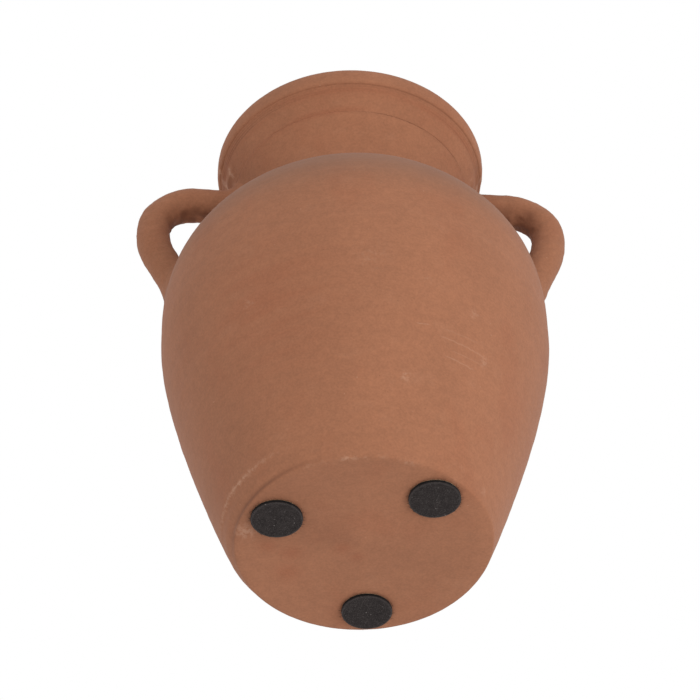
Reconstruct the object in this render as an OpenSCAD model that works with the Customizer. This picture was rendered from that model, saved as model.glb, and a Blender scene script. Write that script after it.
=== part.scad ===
// Two-handled terracotta amphora that stands on three self-adhesive felt pads.
// Millimetres, +Z up, handles on the X axis, front towards -Y.
// The origin is the middle of the footprint, on the surface the pads stand on.

/* [Overall] */

// Height of the clay, from the foot to the top of the lip
clay_h = 273; // [200:1:360]

// Widest diameter of the belly
belly_d = 197.4; // [140:0.1:260]

// Diameter of the flat foot
foot_d = 124; // [90:1:160]

// Diameter across the lip
mouth_d = 142.8; // [100:0.1:180]

// Thickness of the thrown wall
wall = 6.5; // [4:0.1:10]

/* [Outline of the body] */

// Height of the widest part of the belly, as a share of the clay height
belly_share = 0.482; // [0.4:0.001:0.6]

// Height where the shoulder turns into the neck, as a share of the clay height
shoulder_share = 0.793; // [0.7:0.001:0.85]

// Radius where the shoulder turns into the neck, as a share of the lip's radius
neck_share = 0.753; // [0.6:0.001:0.85]

// Lean of the wall just above the foot, in degrees from upright
foot_lean = 30; // [10:1:50]

// Slope of the shoulder where it meets the neck, in degrees from level
shoulder_slope = 35; // [15:1:60]

// Rounding of the foot's outer edge
foot_edge = 1.3; // [0.5:0.1:4]

// Thickness of the floor
floor_t = 8; // [5:0.5:14]

/* [Neck and lip] */

// Lean of the flared neck under the lip, in degrees from upright
flare_lean = 32; // [10:1:50]

// Height of the rolled lip
lip_h = 12.4; // [6:0.1:18]

// Thickness of the rolled lip
lip_t = 10; // [7:0.1:16]

// How far the lip stands out past the top of the neck
lip_step = 2; // [0.5:0.1:6]

// Where the collar is joined to the body, as a share of the neck's curve
seam_share = 0.8; // [0.7:0.01:0.9]

// Depth and half-width of the open joint line around the outside of the seam
seam_line = 0.5; // [0.2:0.1:1]

/* [Handles] */

// Diameter of the clay coil
coil_d = 17.6; // [12:0.5:24]

// How far the outside of a handle stands out past the belly
handle_out = 15; // [8:0.1:40]

// Height of the upper arm's centre, as a share of the clay height
arm_share = 0.8755; // [0.8:0.0005:0.92]

// How much higher the right handle was pressed on than the left one
right_lift = 1.8; // [0:0.1:6]

// Bend radius of the outer top corner, to the coil's centre
top_bend = 22; // [14:1:40]

// Bend radius of the long outer side, to the coil's centre
side_bend = 50; // [30:1:90]

// Lean of the lower arm, in degrees from upright
arm_lean = 24; // [10:1:45]

// How much the coil thickens where it is pressed onto the pot
root_spread = 2.5; // [1:0.1:6]

/* [Felt pads] */

// Diameter of a pad
pad_d = 25; // [16:0.5:32]

// Thickness of the felt
pad_t = 2; // [1:0.1:5]

// Thickness of the adhesive film on its back
film_t = 0.2; // [0.1:0.05:0.5]

// How much smaller the film is than the pad, all round
film_inset = 0.3; // [0.1:0.1:1]

// Bevel of the pad's edges
pad_edge = 0.3; // [0.1:0.1:1]

// Direction of the left pad from the foot's middle, in degrees from +X
left_pad_angle = -154.8; // [-180:0.1:180]

// Gap between the left pad's edge and the foot's edge
left_pad_inset = 3.7; // [0.3:0.1:10]

// Direction of the right pad from the foot's middle, in degrees from +X
right_pad_angle = -47.8; // [-180:0.1:180]

// Gap between the right pad's edge and the foot's edge
right_pad_inset = 1; // [0.3:0.1:10]

// Direction of the back pad from the foot's middle, in degrees from +X
back_pad_angle = 83.5; // [-180:0.1:180]

// Gap between the back pad's edge and the foot's edge
back_pad_inset = 2.4; // [0.3:0.1:10]

/* [Hidden] */

$fn = 180;

belly_r = belly_d / 2;
foot_r = foot_d / 2;
lip_r = mouth_d / 2;
coil_r = coil_d / 2;
pad_r = pad_d / 2;
stand_off = pad_t + film_t;

belly_z = belly_share * clay_h;
neck_root = [neck_share * lip_r, shoulder_share * clay_h];
shoulder_h = neck_root.y - belly_z;
lip_mid_r = lip_r - lip_t / 2;
lip_crown_h = 0.6 * lip_t;
lip_wide_z = clay_h - lip_crown_h;
neck_top = [lip_r - lip_step, clay_h - lip_h];
neck_h = neck_top.y - neck_root.y;

wall_start = [foot_r + foot_edge * cos(foot_lean), foot_edge * (1 - sin(foot_lean))];
wall_way = [sin(foot_lean), cos(foot_lean)];
shoulder_way = [-cos(shoulder_slope), sin(shoulder_slope)];
flare_way = [sin(flare_lean), cos(flare_lean)];

// How straight each curve leaves its two ends, as shares of the height it spans.
wall_pull = [0.066, 0.272];
shoulder_pull = [0.342, 0.683];
neck_pull = [0.19, 0.6];

// Each curve of the outside is four points: its start, two that pull it, and its end.
wall_curve = [
    wall_start,
    wall_start + wall_pull[0] * belly_z * wall_way,
    [belly_r, (1 - wall_pull[1]) * belly_z],
    [belly_r, belly_z],
];
shoulder_curve = [
    [belly_r, belly_z],
    [belly_r, belly_z + shoulder_pull[0] * shoulder_h],
    neck_root - shoulder_pull[1] * shoulder_h * shoulder_way,
    neck_root,
];
neck_curve = [
    neck_root,
    neck_root + neck_pull[0] * neck_h * shoulder_way,
    neck_top - neck_pull[1] * neck_h * flare_way,
    neck_top,
];

// The inside corner of the floor: its share of the wall's curve, its pull, and how far in it ends.
corner_share = 0.2;
corner_pull = 10;
corner_in = 3 * wall;

// Handle centreline in the XZ plane, above the foot.
handle_x = belly_r + handle_out - coil_r;
arm_z = arm_share * clay_h;
bend_z = arm_z - top_bend;
arm_way = [-sin(arm_lean), -cos(arm_lean)];
lower_arm_start = [
    handle_x - side_bend * (1 - cos(arm_lean)),
    bend_z - side_bend * sin(arm_lean),
];

// Each length of coil laps into the one before it and is a hair thinner, so that they join.
lap = 1;
lap_step = 0.06;
root_h = 11;
upper_root_extra = 2 * root_spread;
lower_root_extra = 0.6 * root_spread;
lower_root_h = 3 * root_h;

// A point on a curve, the way it is heading there, and the point one wall thickness inside it.
function curve(p, t) =
    (1 - t) ^ 3 * p[0] + 3 * (1 - t) ^ 2 * t * p[1] + 3 * (1 - t) * t ^ 2 * p[2] + t ^ 3 * p[3];
function slope(p, t) =
    (1 - t) ^ 2 * (p[1] - p[0]) + 2 * (1 - t) * t * (p[2] - p[1]) + t ^ 2 * (p[3] - p[2]);
function heading(p, t) = slope(p, t) / norm(slope(p, t));
function inside(p, t, depth = wall) =
    curve(p, t) + depth * [-heading(p, t).y, heading(p, t).x];

// Points along the outside of a curve, and along its inside, without the first one.
function outer(p, from, to, n) = [for (i = [1:n]) curve(p, from + (to - from) * i / n)];
function inner(p, from, to, n) = [for (i = [1:n]) inside(p, from + (to - from) * i / n)];

// Points round an ellipse from one angle to another.
function sweep(centre, rx, rz, from, to, n) =
    [for (i = [1:n]) let (a = from + (to - from) * i / n) centre + [rx * cos(a), rz * sin(a)]];

foot_arc = sweep([foot_r, foot_edge], foot_edge, foot_edge, -90, -foot_lean, 4);
inner_top = inside(neck_curve, 1);
lip_outside = concat(
    sweep([neck_top.x, lip_wide_z], lip_step, lip_wide_z - neck_top.y, -90, 0, 6),
    sweep([lip_mid_r, lip_wide_z], lip_t / 2, lip_crown_h, 0, 90, 8)
);
lip_inside = sweep([lip_mid_r, inner_top.y], lip_mid_r - inner_top.x, clay_h - inner_top.y, 90, 180, 8);

// The seam line is a V cut along the joint: its two edges on the outside and its bottom.
seam_below = seam_share - seam_line / neck_h;
seam_above = seam_share + seam_line / neck_h;
seam_bottom = inside(neck_curve, seam_share, seam_line);

// The neck is narrowest in a short straight throat, which takes a stopper.
throat_trim = 0.4;
neck_inside = inner(neck_curve, seam_share, 0, 24);
throat_r = min([for (p = neck_inside) p.x]) + throat_trim;
throat_z = [for (p = neck_inside) if (p.x <= throat_r) p.y];
above_throat = [for (p = neck_inside) if (p.y > max(throat_z)) p];
below_throat = [for (p = neck_inside) if (p.y < min(throat_z)) p];

floor_corner = [
    inside(wall_curve, corner_share),
    inside(wall_curve, corner_share) - corner_pull * heading(wall_curve, corner_share),
    [foot_r - wall, floor_t],
    [foot_r - corner_in, floor_t],
];

outside_of_body = concat(
    [[foot_r, 0]],
    foot_arc,
    outer(wall_curve, 0, 1, 22),
    outer(shoulder_curve, 0, 1, 20),
    outer(neck_curve, 0, seam_below, 12)
);
outside_of_collar = concat(
    [seam_bottom, curve(neck_curve, seam_above)],
    outer(neck_curve, seam_above, 1, 4),
    lip_outside
);

// The pot's outer radius at a height, and how far down the lower arm its middle reaches the pot.
function radius_at(z) = lookup(z, [for (p = outside_of_body) [p.y, p.x]]);
search_step = 0.25;
function on_arm(s) = lower_arm_start + s * arm_way;
lower_root = [for (s = [0:search_step:belly_r]) if (on_arm(s).x <= radius_at(on_arm(s).y)) s][0];
upper_root_r = radius_at(arm_z);

module body() {
    color("#a8694c")
        translate([0, 0, stand_off])
            rotate_extrude()
                polygon(concat(
                    [[0, 0]],
                    outside_of_body,
                    [seam_bottom, inside(neck_curve, seam_share)],
                    above_throat,
                    [[throat_r, max(throat_z)], [throat_r, min(throat_z)]],
                    below_throat,
                    inner(shoulder_curve, 1, 0, 18),
                    inner(wall_curve, 1, corner_share, 16),
                    outer(floor_corner, 0, 1, 8),
                    [[0, floor_t]]
                ));
}

module rim_collar() {
    color("#ab6b4d")
        translate([0, 0, stand_off])
            rotate_extrude()
                polygon(concat(
                    outside_of_collar,
                    lip_inside,
                    inner(neck_curve, 1, seam_share, 4)
                ));
}

// The space inside the pot's outer skin, which the handles are fitted to.
module pot_space() {
    rotate_extrude()
        polygon(concat([[0, 0]], outside_of_body, outside_of_collar, [[0, clay_h]]));
}

// One bend of the coil in the XZ plane, between two angles from the X axis.
module coil_bend(centre, bend, r, from, to) {
    translate([centre.x, 0, centre.y])
        rotate([90, -from, 0])
            rotate_extrude(angle = to - from)
                translate([bend, 0])
                    circle(r = r);
}

// A straight length of coil from a point in the XZ plane, leaning from downwards towards the axis.
module coil_arm(start, lean, r1, r2, length) {
    translate([start.x, 0, start.y])
        rotate([0, 180 + lean, 0])
            cylinder(r1 = r1, r2 = r2, h = length);
}

// The coil before it is fitted to the pot, thickened where each end is pressed on.
module coil() {
    arm_r = coil_r - 2 * lap_step;
    side_r = coil_r - lap_step;
    root_r = arm_r - 4 * lap_step;
    lap_angle = lap / side_bend * 180 / PI;
    coil_bend([handle_x - top_bend, bend_z], top_bend, coil_r, 0, 90);
    coil_bend([handle_x - side_bend, bend_z], side_bend, side_r, -arm_lean, lap_angle);
    coil_arm([handle_x - top_bend + lap, arm_z], 90, side_r, side_r, handle_x - top_bend);
    coil_arm([upper_root_r + root_h, arm_z], 90, root_r, coil_r + upper_root_extra, 2 * root_h);
    coil_arm(on_arm(-lap), arm_lean, arm_r, arm_r, lower_root + root_h);
    coil_arm(on_arm(lower_root - root_h), arm_lean, root_r, coil_r + lower_root_extra, lower_root_h);
}

// A handle on the right, raised by a little or not at all, with its ends cut to the pot's skin.
module handle(lift) {
    color("#a5664a")
        translate([0, 0, stand_off])
            difference() {
                translate([0, 0, lift])
                    coil();
                pot_space();
            }
}

module handle_right() {
    handle(right_lift);
}

module handle_left() {
    mirror([1, 0, 0])
        handle(0);
}

// Puts a pad or its film at an angle round the foot, with its edge inset from the foot's edge.
module on_foot(angle, inset) {
    rotate([0, 0, angle])
        translate([foot_r - inset - pad_r, 0, 0])
            children();
}

module felt_pad() {
    color("#2b2a2b") {
        cylinder(r1 = pad_r - pad_edge, r2 = pad_r, h = pad_edge);
        translate([0, 0, pad_edge])
            cylinder(r = pad_r, h = pad_t - 2 * pad_edge);
        translate([0, 0, pad_t - pad_edge])
            cylinder(r1 = pad_r, r2 = pad_r - pad_edge, h = pad_edge);
    }
}

module adhesive_film() {
    color("#d8cfa6")
        translate([0, 0, pad_t])
            cylinder(r = pad_r - film_inset, h = film_t);
}

module pad_left() {
    on_foot(left_pad_angle, left_pad_inset)
        felt_pad();
}

module pad_right() {
    on_foot(right_pad_angle, right_pad_inset)
        felt_pad();
}

module pad_back() {
    on_foot(back_pad_angle, back_pad_inset)
        felt_pad();
}

module film_left() {
    on_foot(left_pad_angle, left_pad_inset)
        adhesive_film();
}

module film_right() {
    on_foot(right_pad_angle, right_pad_inset)
        adhesive_film();
}

module film_back() {
    on_foot(back_pad_angle, back_pad_inset)
        adhesive_film();
}

body();
rim_collar();
handle_left();
handle_right();
film_left();
film_right();
film_back();
pad_left();
pad_right();
pad_back();
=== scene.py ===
import random
from math import atan2, ceil, cos, degrees, exp, hypot, pi, radians, sin, sqrt

import bmesh
import bpy
from mathutils import Matrix, Vector, noise
from mathutils.bvhtree import BVHTree


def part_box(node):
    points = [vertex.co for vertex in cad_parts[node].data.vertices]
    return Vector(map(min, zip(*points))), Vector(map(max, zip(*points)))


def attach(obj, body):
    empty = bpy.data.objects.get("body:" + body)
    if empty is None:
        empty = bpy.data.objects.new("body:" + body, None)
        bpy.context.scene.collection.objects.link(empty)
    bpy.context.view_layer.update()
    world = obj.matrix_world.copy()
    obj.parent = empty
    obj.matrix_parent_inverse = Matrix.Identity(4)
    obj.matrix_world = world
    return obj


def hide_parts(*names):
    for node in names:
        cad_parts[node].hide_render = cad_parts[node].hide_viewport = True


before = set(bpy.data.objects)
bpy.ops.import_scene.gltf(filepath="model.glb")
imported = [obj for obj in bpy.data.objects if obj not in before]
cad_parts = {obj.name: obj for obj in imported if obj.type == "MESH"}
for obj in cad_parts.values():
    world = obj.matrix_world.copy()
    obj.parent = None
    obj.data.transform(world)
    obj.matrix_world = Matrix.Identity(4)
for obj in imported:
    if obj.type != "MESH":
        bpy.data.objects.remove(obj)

# The looks of a two-handled terracotta amphora on three felt pads, in metres, +Z up, front towards -Y.

MM = 0.001
TOUCH = 1e-6
SEGMENTS = 300
SHARP = radians(25)

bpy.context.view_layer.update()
body_low, body_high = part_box("body")
_, collar_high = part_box("rim_collar")
foot_z = body_low.z
clay_h = collar_high.z - foot_z
foot_middle = Vector((0, 0, foot_z))

# Camera: degrees round from the front, degrees up, then lengths in clay heights and the lens in mm.
CAMERA_AZIMUTH = -4.5
CAMERA_ELEVATION = -41.456
CAMERA_DISTANCE = 5.53
CAMERA_AIM = Vector((-0.0099, 0.0007, 0.4883))
CAMERA_ROLL = -1.685
CAMERA_LENS = 161.43

# The foot's edge was cut inwards on the left and up along the leaning wall on the right.
CUT_IN = Vector((1.7 * MM, 0, 0))
CUT_UP = 1.3 * MM
CUT_FADE = 6 * MM
CUT_UP_ANGLE = -8
WALL_LEAN = radians(30)

# A band was pared off the wall above the foot on the left, and fine lines were scraped on the right.
PARED_ANGLE = -157
PARED_TOP = 11 * MM
PARED_DEPTH = 1.0 * MM
PARED_WIDTH = 48
SCRAPED_ANGLE = -28
SCRAPED_SPACING = 1.9 * MM
SCRAPED_DEPTH = 0.12 * MM

# Where the foot crumbled, beside the left pad.
CRUMBLED = Vector((-56 * MM, -9 * MM, foot_z))
CRUMBLED_SIZE = 6 * MM

# The rolled lip's height, the band under it that is grooved, the size of one groove, and how much the
# joint line is filled where it was smeared shut.
LIP_HEIGHT = 12.4 * MM
LIP_BAND = 9 * MM
GROOVE_WIDTH = 0.3 * MM
GROOVE_DEPTH = 0.17 * MM
SEAM_DEPTH = 0.5 * MM

# How finely the body is divided: across the foot, up the trimmed band, the wall and the rest of the
# outside, and then down the inside and over the floor. The wall ends at a share of the clay's height.
FOOT_STEP = 2.6 * MM
TRIMMED_STEP = 0.55 * MM
WALL_STEP = 1.9 * MM
NECK_STEP = 1.1 * MM
INSIDE_STEP = 4.5 * MM
FLOOR_STEP = 6 * MM
COLLAR_STEP = 0.3 * MM
TRIMMED_HEIGHT = 16 * MM
WALL_TOP = 0.79

# How far thrown clay strays from its outline, in mm: finger rings on the outside and inside of the
# wall, turning marks on flat faces, a slow wobble and the grain.
RINGS_OUTSIDE = 0.11
RINGS_INSIDE = 0.45
TURNING_MARKS = 0.10
WOBBLE = 0.35
GRAIN = 0.05

# Clay smeared over the neck above each handle, and clay drawn up round the handles' edges. How far the
# smear is out towards the handle is a share of the handle's reach. Depth and height are in mm.
SMEAR_SHARE = 0.6
SMEAR_SIZE = 11 * MM
SMEAR_DEPTH = 1.0
FILLET_REACH = 7 * MM
FILLET_HEIGHT = 1.5

# Handles: how finely the skin is divided, how far the hole's middle is in from the outside and down from
# the top, and a burr left on the left one.
COIL_VOXEL = 0.55 * MM
HOLE_IN = 34 * MM
BURR = Vector((-94.4 * MM, -1 * MM, foot_z + 197.5 * MM))
BURR_SIZE = 2.2 * MM
BURR_HEIGHT = 1.6 * MM

# How a coil's end spreads on the pot: from how far off, how far out, its fillet, and how deep it sinks.
# The right handle's upper end spreads from further off, and that handle stands closer in.
ROOT_REACH = 9 * MM
LONG_ROOT_REACH = 20 * MM
ROOT_SPREAD = 1.6 * MM
ROOT_FILLET = 3.2 * MM
ROOT_SINK = 0.6 * MM
RIGHT_PULLED_IN = 0.6 * MM

# Felt: the pads' rounded edge, and the loose fibres.
FELT_EDGE = 0.42 * MM
FIBRES = 260
FIBRES_ON_SIDE = 0.35
FIBRE_LINKS = 6
FIBRE_LINK = 0.32 * MM
FIBRE_WIDTH = 0.035 * MM

# Studio: the sizes of the floor and the light and the light's distance in clay heights, its power in
# watts, and the way to it.
FLOOR_SIZE = 12
LIGHT_SIZE = 3.0
LIGHT_DISTANCE = 6.6
LIGHT_ENERGY = 14.0
LIGHT_WAY = Vector((0.54, -0.72, -0.44)).normalized()

# Pale worn spots on the wall: angle, height, size and strength.
WORN_SPOTS = [
    (-89, 105 * MM, 9 * MM, 0.3),
    (-77, 43 * MM, 2.5 * MM, 0.9),
    (-48, 66 * MM, 3 * MM, 0.7),
    (-55, 87 * MM, 2.5 * MM, 0.8),
    (-128, 92 * MM, 4 * MM, 0.5),
    (-72, 96 * MM, 2 * MM, 0.6),
    (38, 120 * MM, 6 * MM, 0.5),
    (131, 70 * MM, 5 * MM, 0.6),
]

# Redder blotches on the foot: angle, distance from its middle and size.
RED_BLOTCHES = [
    (168, 9 * MM, 4 * MM),
    (103, 8 * MM, 3 * MM),
    (170, 34 * MM, 5 * MM),
    (150, 40 * MM, 6 * MM),
    (178, 45 * MM, 4 * MM),
]

# Fine grooves under the lip: how far each lies below it.
LIP_GROOVES = [0, 1 * MM, 2.1 * MM, 3.2 * MM]


def clamp(value, low=0.0, high=1.0):
    return max(low, min(high, value))


def ease(low, high, value):
    """0 below low, 1 above high, and a smooth step between them."""
    t = clamp((value - low) / (high - low))
    return t * t * (3 - 2 * t)


def angle_of(place):
    return degrees(atan2(place.y, place.x))


def near_angle(place, angle, reach):
    """1 at an angle round the pot, easing to 0 at reach degrees to either side."""
    off = (angle_of(place) - angle + 180) % 360 - 180
    return 1 - ease(0, reach, abs(off))


def rings(place, round_scale, up_scale):
    """Noise that runs round the pot in rings: slow along each ring, quick up the wall."""
    return noise.noise(Vector((place.x * round_scale, place.y * round_scale, place.z * up_scale)))


def turned_rings(place, round_scale, out_scale):
    """The same on a flat face: slow along each ring, quick outwards."""
    out = hypot(place.x, place.y) * out_scale
    return noise.noise(Vector((place.x * round_scale, place.y * round_scale, out)))


# ---- outlines read from the CAD model ------------------------------------------------------------

def cad_outline(node):
    """The outline that a turned CAD node is spun from, as (radius, height) points in order along it."""
    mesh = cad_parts[node].data
    beside = {}
    for edge in mesh.edges:
        ends = [mesh.vertices[i].co for i in edge.vertices]
        if all(abs(end.y) < TOUCH and end.x > 0 for end in ends):
            a, b = [(round(end.x, 6), round(end.z, 6)) for end in ends]
            beside.setdefault(a, set()).add(b)
            beside.setdefault(b, set()).add(a)
    single = [point for point in beside if len(beside[point]) == 1]
    point = min(single or beside, key=lambda p: (p[1], -p[0]))
    outline = [point]
    while True:
        onward = [p for p in beside[point] if p not in outline]
        if not onward:
            return [Vector(p) for p in outline]
        point = max(onward, key=lambda p: p[0])
        outline.append(point)


def smooth_line(points, step, closed=False):
    """Points every step or less along a curve through the given ones, sharp only where they are."""
    count = len(points)

    def chord(i):
        return points[(i + 1) % count] - points[i % count]

    def heading(i, here):
        if not closed and i % count in (0, count - 1):
            return here.normalized()
        before = chord(i - 1)
        after = chord(i)
        if before.angle(after) > SHARP:
            return here.normalized()
        return (before.normalized() * after.length + after.normalized() * before.length).normalized()

    line = []
    for i in range(count if closed else count - 1):
        here = chord(i)
        start_way = heading(i, here) * here.length
        end_way = heading(i + 1, here) * here.length
        parts = ceil(here.length / step)
        for k in range(parts):
            t = k / parts
            a = points[i] * (2 * t ** 3 - 3 * t ** 2 + 1) + start_way * (t ** 3 - 2 * t ** 2 + t)
            b = points[(i + 1) % count] * (3 * t ** 2 - 2 * t ** 3) + end_way * (t ** 3 - t ** 2)
            line.append(a + b)
    if not closed:
        line.append(points[-1].copy())
    return line


def level_line(start, end, step):
    """Evenly spaced points along a straight line, without its end."""
    parts = ceil((end - start).length / step)
    return [start.lerp(end, k / parts) for k in range(parts)]


# ---- meshes --------------------------------------------------------------------------------------

def add_piece(name, mesh, material, node):
    """Puts a finished mesh in the scene in place of a CAD node."""
    mesh.name = name
    mesh.materials.clear()
    mesh.materials.append(material)
    mesh.polygons.foreach_set("use_smooth", [True] * len(mesh.polygons))
    piece = bpy.data.objects.new(name, mesh)
    bpy.context.scene.collection.objects.link(piece)
    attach(piece, "root")
    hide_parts(node)
    return piece


def surface_of(node):
    """A CAD node's surface, for finding the nearest point on it."""
    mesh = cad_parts[node].data
    return BVHTree.FromPolygons([v.co for v in mesh.vertices], [face.vertices for face in mesh.polygons])


def spin(line, shape, closed=False, segments=SEGMENTS):
    """A mesh turned from a line of (radius, height) points. shape(place, out) gives each point's place."""
    count = len(line)
    mesh = bmesh.new()
    rows = []
    for i, point in enumerate(line):
        before = line[i - 1] if closed or i else point
        after = line[(i + 1) % count] if closed or i < count - 1 else point
        along = (after - before).normalized()
        turns = 1 if point.x < TOUCH else segments
        row = []
        for k in range(turns):
            a = 2 * pi * k / segments
            place = Vector((point.x * cos(a), point.x * sin(a), point.y))
            out = Vector((along.y * cos(a), along.y * sin(a), -along.x))
            row.append(mesh.verts.new(shape(place, out)))
        rows.append(row * (segments // turns))
    pairs = zip(rows, rows[1:] + rows[:1]) if closed else zip(rows, rows[1:])
    for low, high in pairs:
        for k in range(segments):
            m = (k + 1) % segments
            corners = dict.fromkeys([low[k], low[m], high[m], high[k]])
            mesh.faces.new(corners)
    bmesh.ops.recalc_face_normals(mesh, faces=mesh.faces)
    result = bpy.data.meshes.new("turned")
    mesh.to_mesh(result)
    mesh.free()
    return result


def paint(mesh, name, amount):
    """Stores amount(place), from 0 to 1, at each vertex for the materials to read."""
    layer = mesh.attributes.new(name, "FLOAT", "POINT")
    layer.data.foreach_set("value", [clamp(amount(vertex.co)) for vertex in mesh.vertices])


# ---- the thrown pot ------------------------------------------------------------------------------

body_outline = cad_outline("body")
collar_outline = cad_outline("rim_collar")
joint = [p for p in body_outline if min((p - q).length for q in collar_outline) < 10 * TOUCH]
foot_r = body_outline[0].x
seam = max(joint, key=lambda p: p.x)
seam_at = body_outline.index(seam)
seam_edge = body_outline[seam_at - 1]
seam_reach = (seam - seam_edge).length
lip_under = collar_high.z - LIP_HEIGHT
mouth_r = collar_high.x

pad_rings = []
for side in ("left", "right", "back"):
    low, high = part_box("pad_" + side)
    pad_rings.append((((low + high) / 2).xy, (high.x - low.x) / 2))

handle_skins = [surface_of(node) for node in ("handle_left", "handle_right")]
smears = []
for handle_node in ("handle_left", "handle_right"):
    low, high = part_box(handle_node)
    reach = low.x if handle_node == "handle_left" else high.x
    smears.append(Vector((reach * SMEAR_SHARE, -4 * MM, high.z + 6 * MM)))


def smeared(place):
    """1 where clay was smeared over the neck just above a handle, fading to 0 away from it."""
    return max(exp(-((place - smear).length / SMEAR_SIZE) ** 2) for smear in smears)


def filleted(place):
    """1 at the edge of a handle, fading to 0 over the clay drawn up round it."""
    gaps = [skin.find_nearest(place, FILLET_REACH)[3] for skin in handle_skins]
    return max((1 - gap / FILLET_REACH) ** 2 for gap in gaps + [FILLET_REACH] if gap is not None)


def seam_open(place):
    """Where the joint line round the neck was left open, 1, or smeared shut, 0."""
    way = Vector((place.x, place.y, 0)).normalized()
    front = ease(-0.1, 0.35, -way.y)
    broken = noise.noise(way * 2.6 + Vector((0, 0, 3.1)))
    return clamp(0.05 + 0.25 * front - 0.5 * ease(-0.15, 0.2, broken))


def mend_seam(place):
    """How far the joint line is filled at a place, as a move outwards."""
    off = (Vector((hypot(place.x, place.y), place.z)) - seam).length
    if off >= seam_reach:
        return Vector()
    outwards = Vector((place.x, place.y, 0)).normalized() - Vector((0, 0, 0.6))
    return outwards.normalized() * SEAM_DEPTH * (1 - off / seam_reach) * (1 - seam_open(place))


def foot_cut(place):
    """The foot's edge, moved off centre, and the marks of trimming on the wall just above it."""
    height = place.z - foot_z
    if height > 2 * PARED_TOP:
        return Vector()
    way = Vector((place.x, place.y, 0)).normalized()
    fade = (1 - ease(0, CUT_FADE, height)) * ease(10 * MM, 50 * MM, place.xy.length)
    left = near_angle(place, 180, 110)
    right = near_angle(place, CUT_UP_ANGLE, 80) * ease(foot_r - 6 * MM, foot_r, place.xy.length)
    up_wall = way * sin(WALL_LEAN) + Vector((0, 0, cos(WALL_LEAN)))
    edge = CUT_IN * left + up_wall * CUT_UP * right
    pared = ease(0, 2 * MM, height) * (1 - ease(PARED_TOP - 1.4 * MM, PARED_TOP, height))
    pared *= near_angle(place, PARED_ANGLE, PARED_WIDTH)
    lines = sin(2 * pi * height / SCRAPED_SPACING)
    lines *= ease(0, 2 * MM, height) * (1 - ease(6 * MM, 11 * MM, height))
    lines *= near_angle(place, SCRAPED_ANGLE, 45)
    return edge * fade + way * (SCRAPED_DEPTH * lines - PARED_DEPTH * pared)


def clay_skin(place, out):
    """The skin of thrown clay: finger rings on the walls, turning marks on flat faces, and a slow wobble."""
    way = Vector((place.x, place.y, 0))
    way.normalize()
    side = out.dot(way)
    flat = abs(out.z)
    finger = rings(place, 7, 150) + 0.6 * rings(place, 12, 330)
    depth = RINGS_OUTSIDE if side > 0 else RINGS_INSIDE
    move = depth * abs(side) * finger
    move += TURNING_MARKS * flat * turned_rings(place, 10, 240)
    move += WOBBLE * abs(side) * noise.noise(place * 15)
    move += GRAIN * noise.noise(place * 260)
    if side > 0:
        drag = noise.noise(Vector((place.x * 110, place.y * 150, place.z * 240)))
        move += SMEAR_DEPTH * smeared(place) * drag
        move += FILLET_HEIGHT * filleted(place)
    return place + out * move * MM + mend_seam(place)


def body_skin(place, out):
    return clay_skin(place, out) + foot_cut(place)


def collar_skin(place, out):
    """The collar's skin, with fine grooves cut round it just under the lip."""
    outer = place.xy.length > mouth_r - LIP_BAND and out.z < 0.4
    depth = 0
    for drop in LIP_GROOVES:
        off = (place.z - lip_under + drop) / GROOVE_WIDTH
        depth += exp(-off * off) * (0.6 + 0.8 * rings(place, 16, 300 * drop))
    move = -GROOVE_DEPTH * depth if outer else 0
    return clay_skin(place, out) + out * move


def body_mesh():
    """The thrown body: its foot, its outside up to the joint line, and its hollow down to the floor."""
    foot_corner = body_outline[0]
    outside = body_outline[:seam_at + 1]
    inside = body_outline[seam_at:]
    trimmed = [p for p in outside if p.y < foot_z + TRIMMED_HEIGHT]
    wall = [p for p in outside if trimmed[-1].y <= p.y < foot_z + WALL_TOP * clay_h]
    cuts = [len(trimmed) - 1, outside.index(wall[-1])]
    line = level_line(Vector((0, foot_corner.y)), foot_corner, FOOT_STEP)
    line += join_lines(outside, cuts, [TRIMMED_STEP, WALL_STEP, NECK_STEP])
    line += smooth_line(inside, INSIDE_STEP)[1:]
    line += level_line(inside[-1], Vector((0, inside[-1].y)), FLOOR_STEP)[1:]
    line.append(Vector((0, inside[-1].y)))
    return spin(line, body_skin)


def join_lines(points, cuts, steps):
    """One smooth line through all the points, with a spacing of its own between each pair of cuts."""
    fine = min(steps)
    line = smooth_line(points, fine)
    bounds = [points[cut] for cut in cuts] + [points[-1]]
    kept = [line[0]]
    zone = 0
    travelled = 0
    for before, point in zip(line, line[1:]):
        travelled += (point - before).length
        if zone < len(cuts) and (point - bounds[zone]).length < TOUCH:
            zone += 1
        if travelled >= steps[zone] - TOUCH or point is line[-1]:
            kept.append(point)
            travelled = 0
    return kept


def collar_mesh():
    """The collar that was joined on: the flared top of the neck and its rolled lip."""
    return spin(smooth_line(collar_outline, COLLAR_STEP, closed=True), collar_skin, closed=True)


# ---- the handles ---------------------------------------------------------------------------------

def coil_mesh(node):
    """A CAD handle's coil as one evenly divided skin."""
    source = bpy.data.objects.new("coil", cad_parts[node].data.copy())
    bpy.context.scene.collection.objects.link(source)
    weld = source.modifiers.new("weld", "WELD")
    weld.merge_threshold = 0.01 * MM
    remesh = source.modifiers.new("remesh", "REMESH")
    remesh.mode = "VOXEL"
    remesh.voxel_size = COIL_VOXEL
    smooth = source.modifiers.new("smooth", "SMOOTH")
    smooth.iterations = 8
    graph = bpy.context.evaluated_depsgraph_get()
    mesh = bpy.data.meshes.new_from_object(source.evaluated_get(graph))
    bpy.data.objects.remove(source)
    return mesh


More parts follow.
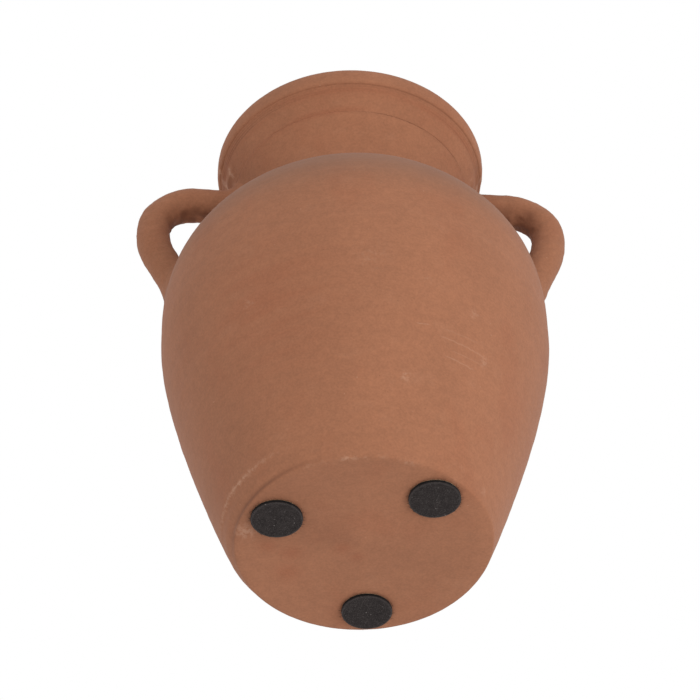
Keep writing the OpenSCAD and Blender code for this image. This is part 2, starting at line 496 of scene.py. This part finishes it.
def handle_mesh(node):
    """A hand-rolled coil with an uneven skin, ends spread over the pot and a rough inner bend.

    Returns the mesh, and at each vertex how much painted shade and dirt darken it.
    """
    mesh = coil_mesh(node)
    pot = surface_of("body")
    low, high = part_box(node)
    left = high.x < 0
    side = -1 if left else 1
    outermost = abs(low.x if left else high.x)
    hole = Vector((side * (outermost - HOLE_IN), 0, high.z - HOLE_IN))
    gaps = [pot.find_nearest(vertex.co) for vertex in mesh.vertices]
    ends = {}
    for upper in (False, True):
        near = [
            v.co for v, gap in zip(mesh.vertices, gaps)
            if gap[3] < 1 * MM and (v.co.z > hole.z) == upper
        ]
        ends[upper] = sum(near, Vector()) / len(near)
    ways = [vertex.normal.copy() for vertex in mesh.vertices]
    shade_and_dirt = []
    for vertex, way, (_, skin_way, _, gap) in zip(mesh.vertices, ways, gaps):
        place = vertex.co.copy()
        facing = way.dot((hole - place).normalized())
        inner = ease(0.2, 0.9, facing) * ease(-6 * MM, 12 * MM, place.z - hole.z)
        # Painted shade with some dirt: the inner bend is darkened in broken patches.
        vertex_shade_and_dirt = inner * ease(-0.25, 0.3, noise.noise(place * 190)) * (0.75 if left else 1.0)
        # On the right handle: painted shade under the upper arm, strongest near the neck.
        if not left:
            high_up = ease(0, 16 * MM, place.z - hole.z)
            under = ease(-0.5, 0.4, facing) * (0.8 + noise.noise(place * 120))
            vertex_shade_and_dirt = max(vertex_shade_and_dirt, high_up * max(0.8 * under, 0.45 * (1 - ease(8 * MM, 32 * MM, gap))))
        shade_and_dirt.append(clamp(vertex_shade_and_dirt))
        uneven = 0.1 + 0.5 * noise.noise(place * 55) + 0.16 * noise.noise(place * 260)
        uneven += 0.08 * noise.noise(place * 700) + 0.8 * inner * noise.noise(place * 240)
        place += way * uneven * MM
        upper = place.z > hole.z
        reach = LONG_ROOT_REACH if upper and not left else ROOT_REACH
        spread = (1 - ease(0, reach, gap)) ** 2
        curve = ROOT_FILLET - sqrt(ROOT_FILLET ** 2 - max(ROOT_FILLET - gap, 0) ** 2)
        away = place - ends[upper]
        away -= skin_way * away.dot(skin_way)
        if away.length > TOUCH:
            place += away.normalized() * (ROOT_SPREAD * spread + curve) * clamp(away.length / (8 * MM))
        place -= skin_way * ROOT_SINK * (1 - ease(0, ROOT_SINK, gap))
        place += way * 0.5 * MM * spread * noise.noise(place * 210)
        if left:
            place += way * BURR_HEIGHT * exp(-((place - BURR).length / BURR_SIZE) ** 2)
        else:
            place.x -= RIGHT_PULLED_IN * ease(0, 25 * MM, gap)
        vertex.co = place
    return mesh, shade_and_dirt


# ---- the felt pads -------------------------------------------------------------------------------

def felt_mesh(node, seed):
    """A punched disc of felt with soft edges, a napped face and loose fibres."""
    low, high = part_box(node)
    middle = (low + high) / 2
    pad_r = (high.x - low.x) / 2
    pad_t = high.z - low.z
    corner = [Vector((sin(radians(a)), -cos(radians(a)))) * FELT_EDGE for a in (0, 22.5, 45, 67.5, 90)]
    below = [Vector((pad_r - FELT_EDGE, FELT_EDGE)) + c for c in corner]
    above = [Vector((p.x, pad_t - p.y)) for p in reversed(below)]
    line = level_line(Vector((0, 0)), below[0], 0.5 * MM)
    line += smooth_line(below + above, 0.2 * MM)
    line += level_line(above[-1], Vector((0, pad_t)), 1.2 * MM)[1:]
    line.append(Vector((0, pad_t)))

    def nap(place, out):
        at = place + Vector((middle.x, middle.y, 0))
        fuzz = 0.05 * noise.noise(at * 1700) + 0.05 * noise.noise(at * 600) + 0.06 * noise.noise(at * 150)
        inward = 0.05 if out.z < 0.5 else 0
        return at + Vector((0, 0, low.z)) + out * MM * (fuzz - inward)

    mesh = spin(line, nap, segments=150)
    add_fibres(mesh, middle, pad_r, low.z, pad_t, random.Random(seed))
    # Painted shade: the pad's side wall is painted near black.
    paint(mesh, "side", lambda place: ease(0.35 * MM, 0.7 * MM, place.z - low.z))
    # Painted highlight: a paler ring along the pad's rounded edge.
    highlight_ring = pad_r - 0.5 * MM
    paint(mesh, "highlight_ring", lambda place: exp(-(((place - middle).xy.length - highlight_ring) / (0.3 * MM)) ** 2))
    return mesh


def add_fibres(mesh, middle, pad_r, pad_z, pad_t, dice):
    """Loose fibres that lie curled on the felt's face and stand off its side."""
    grown = bmesh.new()
    grown.from_mesh(mesh)
    for _ in range(FIBRES):
        turn = dice.uniform(0, 2 * pi)
        on_side = dice.random() < FIBRES_ON_SIDE
        out = pad_r if on_side else pad_r * dice.random() ** 0.5
        height = dice.uniform(0.2, 0.8) * pad_t if on_side else 0.02 * MM
        start = Vector((middle.x + out * cos(turn), middle.y + out * sin(turn), pad_z + height))
        level = [dice.gauss(0, 1), dice.gauss(0, 1)]
        way = Vector(level + [abs(dice.gauss(0, 0.4)) if on_side else 0]).normalized()
        bend = dice.uniform(-0.5, 0.5)
        ring = None
        for _ in range(FIBRE_LINKS):
            across = way.cross(Vector((0, 0, 1))).normalized() * FIBRE_WIDTH
            up = Vector((0, 0, FIBRE_WIDTH))
            fresh = [grown.verts.new(start + corner) for corner in (across, up - across, -up - across)]
            if ring:
                for k in range(3):
                    grown.faces.new([ring[k], ring[(k + 1) % 3], fresh[(k + 1) % 3], fresh[k]])
            else:
                grown.faces.new(fresh[::-1])
            ring = fresh
            start = start + way * FIBRE_LINK
            way = Matrix.Rotation(bend, 3, "Z") @ way
        grown.faces.new(ring)
    bmesh.ops.recalc_face_normals(grown, faces=grown.faces)
    grown.to_mesh(mesh)
    grown.free()


# ---- materials -----------------------------------------------------------------------------------

class Recipe:
    """A material being put together from nodes: each method adds one step and returns its result."""

    def __init__(self, name):
        self.material = bpy.data.materials.new(name)
        self.material.use_nodes = True
        self.tree = self.material.node_tree
        self.shader = self.tree.nodes["Principled BSDF"]
        self.place = self.add("TexCoord", {}).outputs["Object"]

    def add(self, kind, inputs, **settings):
        node = self.tree.nodes.new("ShaderNode" + kind)
        for name, value in settings.items():
            setattr(node, name, value)
        for name, value in inputs.items():
            if isinstance(value, bpy.types.NodeSocket):
                self.tree.links.new(value, node.inputs[name])
            else:
                node.inputs[name].default_value = value
        return node

    def noise(self, scale, detail=3.0, roughness=0.5, distortion=0.0, offset=0.0):
        place = self.add("Mapping", {
            "Vector": self.place, "Scale": scale, "Location": (offset, offset, offset),
        }).outputs["Vector"]
        return self.add("TexNoise", {
            "Vector": place, "Scale": 1.0, "Detail": detail,
            "Roughness": roughness, "Distortion": distortion,
        }).outputs["Fac"]

    def between(self, value, low, high, to_low=0.0, to_high=1.0):
        """Eases from to_low to to_high as the value goes from low to high."""
        return self.add("MapRange", {
            "Value": value, "From Min": low, "From Max": high, "To Min": to_low, "To Max": to_high,
        }, interpolation_type="SMOOTHSTEP").outputs["Result"]

    def grey(self, value, low, high, to_low, to_high):
        """A grey to multiply a colour by, from to_low to to_high as the value goes from low to high."""
        level = self.between(value, low, high, to_low, to_high)
        return self.add("CombineColor", {"Red": level, "Green": level, "Blue": level}).outputs["Color"]

    def math(self, operation, a, b):
        node = self.add("Math", {}, operation=operation)
        for socket, value in zip(node.inputs, (a, b)):
            if isinstance(value, bpy.types.NodeSocket):
                self.tree.links.new(value, socket)
            else:
                socket.default_value = value
        return node.outputs[0]

    def mix(self, amount, a, b, blend="MIX"):
        node = self.add("Mix", {}, data_type="RGBA", blend_type=blend)
        for socket, value in zip((node.inputs[0], node.inputs[6], node.inputs[7]), (amount, a, b)):
            if isinstance(value, bpy.types.NodeSocket):
                self.tree.links.new(value, socket)
            else:
                socket.default_value = value
        return node.outputs[2]

    def painted(self, name):
        """An amount stored on the mesh."""
        return self.add("Attribute", {}, attribute_name=name).outputs["Fac"]

    def specks(self, scale, size, share):
        """Small round specks: one in each cell of a scatter, kept in a share of the cells."""
        cells = self.add("TexVoronoi", {"Vector": self.place, "Scale": scale}, feature="F1")
        dot = self.between(cells.outputs["Distance"], size * 0.5, size, 1.0, 0.0)
        pick = self.add("SeparateColor", {"Color": cells.outputs["Color"]}).outputs["Red"]
        return self.math("MULTIPLY", dot, self.math("LESS_THAN", pick, share))

    def bump(self, height, distance, strength=1.0, under=None):
        inputs = {"Height": height, "Distance": distance, "Strength": strength}
        if under:
            inputs["Normal"] = under
        return self.add("Bump", inputs).outputs["Normal"]

    def finish(self, colour, roughness, normal, **constants):
        """Links the results to the shader and sets what is the same all over."""
        self.tree.links.new(colour, self.shader.inputs["Base Color"])
        self.tree.links.new(roughness, self.shader.inputs["Roughness"])
        self.tree.links.new(normal, self.shader.inputs["Normal"])
        for name, value in constants.items():
            self.shader.inputs[name.replace("_", " ")].default_value = value
        return self.material


def tone(red, green, blue, factor=1.0):
    return (red * factor, green * factor, blue * factor, 1.0)


CLAY = (0.276, 0.113, 0.0585)
REDDER = (0.258, 0.090, 0.044)
DUSTY = (0.420, 0.235, 0.155)
SHADOWED = (0.130, 0.047, 0.024)
# The grey of the painted sheen on the shoulder.
PAINTED_SHEEN = (0.150, 0.084, 0.054)
FELT_DARK = (0.0092, 0.0068, 0.0066)
FELT_NAP = (0.0205, 0.0158, 0.0152)


def scratch(recipe, start, end, width):
    """A mask for a straight scratch on the wall, between two (angle in degrees, height in metres) places."""
    split = recipe.add("SeparateXYZ", {"Vector": recipe.place})
    angle = recipe.math("ARCTAN2", split.outputs["Y"], split.outputs["X"])
    run = recipe.math("MULTIPLY", angle, body_high.x)
    here = recipe.add("CombineXYZ", {"X": run, "Y": split.outputs["Z"]}).outputs["Vector"]
    a = Vector((radians(start[0]) * body_high.x, start[1], 0))
    b = Vector((radians(end[0]) * body_high.x, end[1], 0))
    along = (b - a).normalized()
    across = Vector((-along.y, along.x, 0))

    def part(direction):
        moved = recipe.add("VectorMath", {0: here, 1: a}, operation="SUBTRACT").outputs[0]
        return recipe.add("VectorMath", {0: moved, 1: direction}, operation="DOT_PRODUCT").outputs["Value"]

    ragged = recipe.between(recipe.noise((400, 400, 400)), 0.3, 0.7, -0.6 * width, 0.6 * width)
    off = recipe.math("ABSOLUTE", recipe.math("ADD", part(across), ragged), 0.0)
    line = recipe.between(off, 0.3 * width, width, 1.0, 0.0)
    far = recipe.math("DIVIDE", part(along), (b - a).length)
    begun = recipe.between(far, 0.0, 0.15)
    not_ended = recipe.between(far, 0.8, 1.0, 1.0, 0.0)
    inside = recipe.math("MULTIPLY", begun, not_ended)
    return recipe.math("MULTIPLY", line, inside)


def terracotta(name, seed, marks=()):
    """Unglazed fired clay: uneven tone, redder and dusty patches, grit, pits, scuffs and scratches, with
    painted shade, a painted sheen and a painted highlight read from the mesh.
    """
    recipe = Recipe(name)
    blotch = recipe.noise((22, 22, 8), detail=4.0, offset=seed)
    colour = recipe.mix(recipe.between(blotch, 0.3, 0.7), tone(*CLAY, 0.95), tone(*CLAY, 1.035))
    mottle = recipe.noise((230, 230, 300), detail=5.0, roughness=0.65, offset=seed + 3.0)
    colour = recipe.mix(1.0, colour, recipe.grey(mottle, 0.3, 0.7, 0.95, 1.045), "MULTIPLY")
    red = recipe.between(recipe.noise((34, 34, 26), detail=4.0, offset=seed + 5.0), 0.5, 0.72, 0.0, 0.3)
    red = recipe.math("MAXIMUM", red, recipe.painted("red"))
    colour = recipe.mix(red, colour, tone(*REDDER))
    streak = recipe.noise((9, 9, 260), detail=5.0, roughness=0.6, offset=seed + 9.0)
    colour = recipe.mix(1.0, colour, recipe.grey(streak, 0.3, 0.7, 0.98, 1.02), "MULTIPLY")
    dust = recipe.noise((60, 60, 90), detail=6.0, roughness=0.7, offset=seed + 13.0)
    colour = recipe.mix(recipe.between(dust, 0.5, 0.8, 0.0, 0.10), colour, tone(*DUSTY))
    grain = recipe.noise((850, 850, 1000), detail=2.0, offset=seed)
    colour = recipe.mix(1.0, colour, recipe.grey(grain, 0.3, 0.7, 0.935, 1.05), "MULTIPLY")
    grit = recipe.specks(150.0, 0.055, 0.35)
    colour = recipe.mix(recipe.math("MULTIPLY", grit, 0.5), colour, tone(*DUSTY))
    pits = recipe.specks(230.0, 0.07, 0.3)
    colour = recipe.mix(recipe.math("MULTIPLY", pits, 0.35), colour, tone(*SHADOWED))
    crumbs = recipe.noise((520, 520, 520), detail=4.0, roughness=0.7, offset=seed + 21.0)
    wear_and_highlight = recipe.painted("wear_and_highlight")
    crumbled = recipe.between(recipe.math("ADD", crumbs, recipe.math("MULTIPLY", wear_and_highlight, 0.2)), 0.5, 0.75)
    paler = recipe.math("MULTIPLY", wear_and_highlight, crumbled)
    # Pale scuffed clay, with a painted highlight along the pared band's top edge.
    colour = recipe.mix(recipe.math("MULTIPLY", paler, 0.6), colour, tone(*DUSTY))
    # Painted sheen: a greyer, darker band mixed in high on the shoulder.
    colour = recipe.mix(recipe.math("MULTIPLY", recipe.painted("painted_sheen"), 0.4), colour, tone(*PAINTED_SHEEN))
    # Painted shade, with darker clay along the joint, mixed in towards SHADOWED.
    colour = recipe.mix(recipe.math("MULTIPLY", recipe.painted("shade_and_grime"), 0.75), colour, tone(*SHADOWED))
    for start, end, width, strength in marks:
        mask = scratch(recipe, start, end, width)
        colour = recipe.mix(recipe.math("MULTIPLY", mask, strength), colour, tone(*DUSTY))
    roughness = recipe.between(dust, 0.3, 0.8, 0.84, 0.95)
    skin = recipe.bump(streak, 0.45 * MM, 0.5)
    skin = recipe.bump(crumbs, 0.22 * MM, 0.5, skin)
    skin = recipe.bump(grain, 0.07 * MM, 0.6, skin)
    skin = recipe.bump(recipe.math("SUBTRACT", grit, pits), 0.08 * MM, 0.8, skin)
    return recipe.finish(
        colour, roughness, skin,
        Specular_IOR_Level=0.22, Sheen_Weight=0.04, Sheen_Roughness=0.5, Sheen_Tint=(0.80, 0.84, 0.90, 1.0),
    )


def felt(name):
    """Pressed black felt: short crossing fibres, a few pale ones, a slightly mottled nap, painted shade that
    makes the side near black, and a painted highlight along the rounded edge.
    """
    recipe = Recipe(name)
    nap = recipe.noise((900, 900, 900), detail=6.0, roughness=0.75, distortion=1.5)
    strands = recipe.noise((2600, 320, 900), detail=3.0, distortion=3.0)
    crossing = recipe.noise((320, 2600, 900), detail=3.0, distortion=3.0, offset=7.0)
    mottle = recipe.noise((160, 160, 160), detail=3.0)
    colour = recipe.mix(recipe.between(nap, 0.3, 0.7), tone(*FELT_DARK), tone(*FELT_NAP))
    colour = recipe.mix(recipe.between(mottle, 0.4, 0.7, 0.0, 0.4), colour, tone(0.026, 0.0205, 0.0195))
    lengthways = recipe.between(strands, 0.60, 0.68)
    crossways = recipe.between(crossing, 0.60, 0.68)
    pale = recipe.math("MAXIMUM", lengthways, crossways)
    colour = recipe.mix(recipe.math("MULTIPLY", pale, 0.7), colour, tone(0.100, 0.087, 0.083))
    # Painted highlight along the rounded edge, broken up by the nap.
    paler = recipe.math("MULTIPLY", recipe.painted("highlight_ring"), recipe.between(nap, 0.3, 0.6, 0.15, 0.7))
    colour = recipe.mix(paler, colour, tone(0.058, 0.050, 0.048))
    # Painted shade on the pad's side wall.
    colour = recipe.mix(recipe.painted("side"), colour, tone(0.004, 0.004, 0.004))
    lint = recipe.specks(420.0, 0.16, 0.16)
    colour = recipe.mix(recipe.math("MULTIPLY", lint, 0.7), colour, tone(0.20, 0.18, 0.17))
    roughness = recipe.between(nap, 0.3, 0.7, 0.88, 1.0)
    skin = recipe.bump(recipe.math("ADD", strands, crossing), 0.15 * MM, 0.6)
    skin = recipe.bump(nap, 0.12 * MM, 0.8, skin)
    return recipe.finish(
        colour, roughness, skin,
        Specular_IOR_Level=0.15, Sheen_Weight=0.06, Sheen_Roughness=0.5, Sheen_Tint=(0.60, 0.50, 0.49, 1.0),
    )


def adhesive(name):
    """The thin film of glue behind a pad: dull amber with trapped dust and bubbles."""
    recipe = Recipe(name)
    cloud = recipe.noise((240, 240, 240), detail=4.0)
    colour = recipe.mix(recipe.between(cloud, 0.3, 0.7), tone(0.20, 0.13, 0.07), tone(0.32, 0.22, 0.13))
    dust = recipe.specks(500.0, 0.15, 0.4)
    colour = recipe.mix(recipe.math("MULTIPLY", dust, 0.5), colour, tone(0.08, 0.05, 0.03))
    roughness = recipe.between(cloud, 0.3, 0.7, 0.4, 0.65)
    return recipe.finish(colour, roughness, recipe.bump(cloud, 0.1 * MM, 0.5), Specular_IOR_Level=0.4)


def studio_floor(name):
    """Pale matt board, seen only from above, so that the foot can be looked at from below."""
    recipe = Recipe(name)
    cloud = recipe.noise((3, 3, 3), detail=4.0)
    colour = recipe.mix(cloud, tone(0.74, 0.74, 0.74), tone(0.78, 0.775, 0.77))
    roughness = recipe.between(cloud, 0.3, 0.7, 0.8, 0.9)
    material = recipe.finish(colour, roughness, recipe.bump(recipe.noise((300, 300, 300)), 0.1 * MM))
    from_below = recipe.add("NewGeometry", {}).outputs["Backfacing"]
    clear = recipe.add("BsdfTransparent", {}).outputs["BSDF"]
    seen = recipe.add("MixShader", {"Fac": from_below, 1: recipe.shader.outputs["BSDF"], 2: clear})
    recipe.tree.links.new(seen.outputs["Shader"], recipe.tree.nodes["Material Output"].inputs["Surface"])
    return material


# ---- what is painted on the clay -----------------------------------------------------------------

def clay_wear_and_highlight(place):
    """Pale scuffed clay on the foot's edge, the scraped wall, smeared clay and worn spots, and a painted
    highlight along the top edge of the pared band.
    """
    height = place.z - foot_z
    patchy = ease(-0.1, 0.35, noise.noise(place * 90))
    edge = exp(-((place.xy.length - foot_r) / (1.6 * MM)) ** 2 - (height / (1.6 * MM)) ** 2)
    chips = 0.6 * near_angle(place, -95, 45) * ease(-0.3, 0.3, noise.noise(place * 270))
    front = edge * (0.4 * patchy + chips)
    scraped = near_angle(place, SCRAPED_ANGLE, 30) * exp(-((height - 8 * MM) / (3.5 * MM)) ** 2) * patchy
    # Painted highlight: a pale line along the top edge of the pared band.
    pared = near_angle(place, PARED_ANGLE, PARED_WIDTH) * exp(-((height - PARED_TOP) / (1.2 * MM)) ** 2)
    crumbled = exp(-((place - CRUMBLED).length / CRUMBLED_SIZE) ** 2)
    flecks = ease(0.3, 0.6, smeared(place)) * ease(0.0, 0.3, noise.noise(place * 160))
    spots = 0
    for angle, up, size, strength in WORN_SPOTS:
        way = Vector((cos(radians(angle)), sin(radians(angle)), 0))
        spot = way * place.xy.length + Vector((0, 0, up))
        spots = max(spots, strength * exp(-((place - spot).length / size) ** 2))
    return max(front, scraped, pared, crumbled, flecks, spots)


def clay_shade_and_grime(place):
    """Painted shade, with a dark joint: darker clay along the joint line, painted shade in the lip's grooves
    and in the crease at the foot's left edge, and a painted contact shadow round the pads.
    """
    here = Vector((place.xy.length, place.z))
    line = exp(-((here - seam).length / (0.7 * MM)) ** 2) * seam_open(place)
    groove = 0
    # Painted shade in the grooves under the lip.
    if place.z > seam.y and here.x > mouth_r - LIP_BAND:
        drops = [exp(-((place.z - lip_under + drop) / GROOVE_WIDTH) ** 2) for drop in LIP_GROOVES]
        groove = max(drops) * clamp(0.35 + rings(place, 20, 500))
    height = place.z - foot_z
    # Painted shade in the crease at the foot's left edge.
    left = near_angle(place, -150, 60) * exp(-((height - 1.2 * MM) / (1.1 * MM)) ** 2)
    # Painted contact shadow in a ring round each pad.
    glue = 0
    if height < 1 * MM:
        for middle, pad_r in pad_rings:
            off = (place.xy - middle).length - pad_r
            glue = max(glue, exp(-(off / (0.8 * MM)) ** 2))
    return max(0.3 * line, 0.65 * groove, 0.9 * left, 0.5 * glue)


def clay_red(place):
    """Redder clay: under the lip, along the joint, on the left of the wall, and in blotches on the foot."""
    out = place.xy.length
    height = place.z - foot_z
    patchy = ease(-0.3, 0.3, rings(place, 22, 260))
    under_lip = exp(-((place.z - lip_under + 3 * MM) / (3 * MM)) ** 2) * (out > mouth_r - 12 * MM)
    joint = 0.6 * exp(-((place.z - seam.y) / (2 * MM)) ** 2)
    wall = near_angle(place, -122, 35) * exp(-((height - 85 * MM) / (35 * MM)) ** 2)
    blotch = 0
    for angle, far, size in RED_BLOTCHES:
        spot = Vector((far * cos(radians(angle)), far * sin(radians(angle)), foot_z))
        blotch = max(blotch, exp(-((place - spot).length / size) ** 2))
    wall *= 0.4 + 0.6 * patchy
    return max(0.6 * under_lip * patchy, joint * patchy, 0.6 * wall, 0.7 * blotch)


def clay_painted_sheen(place):
    """Painted sheen: greyer, darker clay high on the shoulder, where it turns in to the neck."""
    high = ease(foot_z + 0.53 * clay_h, foot_z + 0.65 * clay_h, place.z)
    return high * (1 - ease(seam_edge.y - 45 * MM, seam_edge.y - 25 * MM, place.z))


def paint_clay(mesh):
    paint(mesh, "wear_and_highlight", clay_wear_and_highlight)
    # Painted shade and the dark joint line.
    paint(mesh, "shade_and_grime", clay_shade_and_grime)
    paint(mesh, "red", clay_red)
    return mesh


# ---- pieces --------------------------------------------------------------------------------------

# Pale scratches: (angle, height) of the start and of the end, half-width and strength.
SCRATCHES = [
    ((-67, 67.6 * MM), (-46, 68.2 * MM), 0.45 * MM, 0.22),
    ((-64, 58.5 * MM), (-50, 58.5 * MM), 0.50 * MM, 0.24),
    ((-62, 62.5 * MM), (-47, 63.5 * MM), 0.35 * MM, 0.16),
    ((-66, 72.0 * MM), (-50, 73.5 * MM), 0.40 * MM, 0.12),
    ((-74.6, 71.1 * MM), (-69.9, 72.0 * MM), 0.30 * MM, 0.35),
]


def make_clay():
    body = paint_clay(body_mesh())
    # The shoulder's painted sheen band.
    paint(body, "painted_sheen", clay_painted_sheen)
    add_piece("pot_body", body, terracotta("terracotta_body", 0.0, SCRATCHES), "body")
    add_piece("pot_collar", paint_clay(collar_mesh()), terracotta("terracotta_collar", 3.0),
              "rim_collar")
    coil_clay = terracotta("terracotta_handles", 6.0)
    for side in ("left", "right"):
        node = "handle_" + side
        coil, shade_and_dirt = handle_mesh(node)
        paint_clay(coil)
        # The handles' painted shade and dirt go into the same layer.
        coil.attributes["shade_and_grime"].data.foreach_set("value", shade_and_dirt)
        add_piece("coil_" + side, coil, coil_clay, node)


def make_pads():
    black = felt("black_felt")
    glue = adhesive("adhesive_film")
    for seed, side in enumerate(("left", "right", "back")):
        add_piece("felt_" + side, felt_mesh("pad_" + side, seed), black, "pad_" + side)
        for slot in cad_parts["film_" + side].material_slots:
            slot.material = glue


# ---- stage ---------------------------------------------------------------------------------------

def make_floor():
    """A wide pale floor under the pads. It lets light through, so the foot is lit from below."""
    grid = bmesh.new()
    bmesh.ops.create_grid(grid, x_segments=8, y_segments=8, size=FLOOR_SIZE * clay_h)
    mesh = bpy.data.meshes.new("studio_floor")
    grid.to_mesh(mesh)
    grid.free()
    mesh.materials.append(studio_floor("pale_board"))
    floor = bpy.data.objects.new("studio_floor", mesh)
    bpy.context.scene.collection.objects.link(floor)
    floor.visible_diffuse = False
    floor.visible_glossy = False
    floor.visible_shadow = False


def make_light():
    """An even white studio with one large soft light, low in front and to the right."""
    world = bpy.data.worlds.new("studio")
    world.use_nodes = True
    world.node_tree.nodes["Background"].inputs["Color"].default_value = (1.0, 1.0, 1.0, 1.0)
    world.node_tree.nodes["Background"].inputs["Strength"].default_value = 1.0
    bpy.context.scene.world = world
    lamp = bpy.data.lights.new("soft_box", "AREA")
    lamp.shape = "SQUARE"
    lamp.size = LIGHT_SIZE * clay_h
    lamp.energy = LIGHT_ENERGY
    soft_box = bpy.data.objects.new("soft_box", lamp)
    middle = foot_middle + Vector((0, 0, clay_h / 2))
    soft_box.location = middle + LIGHT_WAY * LIGHT_DISTANCE * clay_h
    soft_box.rotation_euler = LIGHT_WAY.to_track_quat("Z", "Y").to_euler()
    bpy.context.scene.collection.objects.link(soft_box)


def make_camera():
    """The camera looks up at the foot from the front, a little turned and tilted."""
    camera = bpy.data.objects.new("camera", bpy.data.cameras.new("camera"))
    camera.data.lens = CAMERA_LENS
    camera.data.clip_end = 100.0
    azimuth = radians(CAMERA_AZIMUTH)
    elevation = radians(CAMERA_ELEVATION)
    back = Vector((sin(azimuth) * cos(elevation), -cos(azimuth) * cos(elevation), sin(elevation)))
    place = foot_middle + back * CAMERA_DISTANCE * clay_h
    look = (foot_middle + CAMERA_AIM * clay_h - place).to_track_quat("-Z", "Y").to_matrix()
    turned = look @ Matrix.Rotation(radians(CAMERA_ROLL), 3, "Z")
    camera.matrix_world = Matrix.Translation(place) @ turned.to_4x4()
    bpy.context.scene.collection.objects.link(camera)
    bpy.context.scene.camera = camera


bpy.context.scene.view_settings.view_transform = "Standard"
make_camera()
make_light()
make_floor()
make_clay()
make_pads()
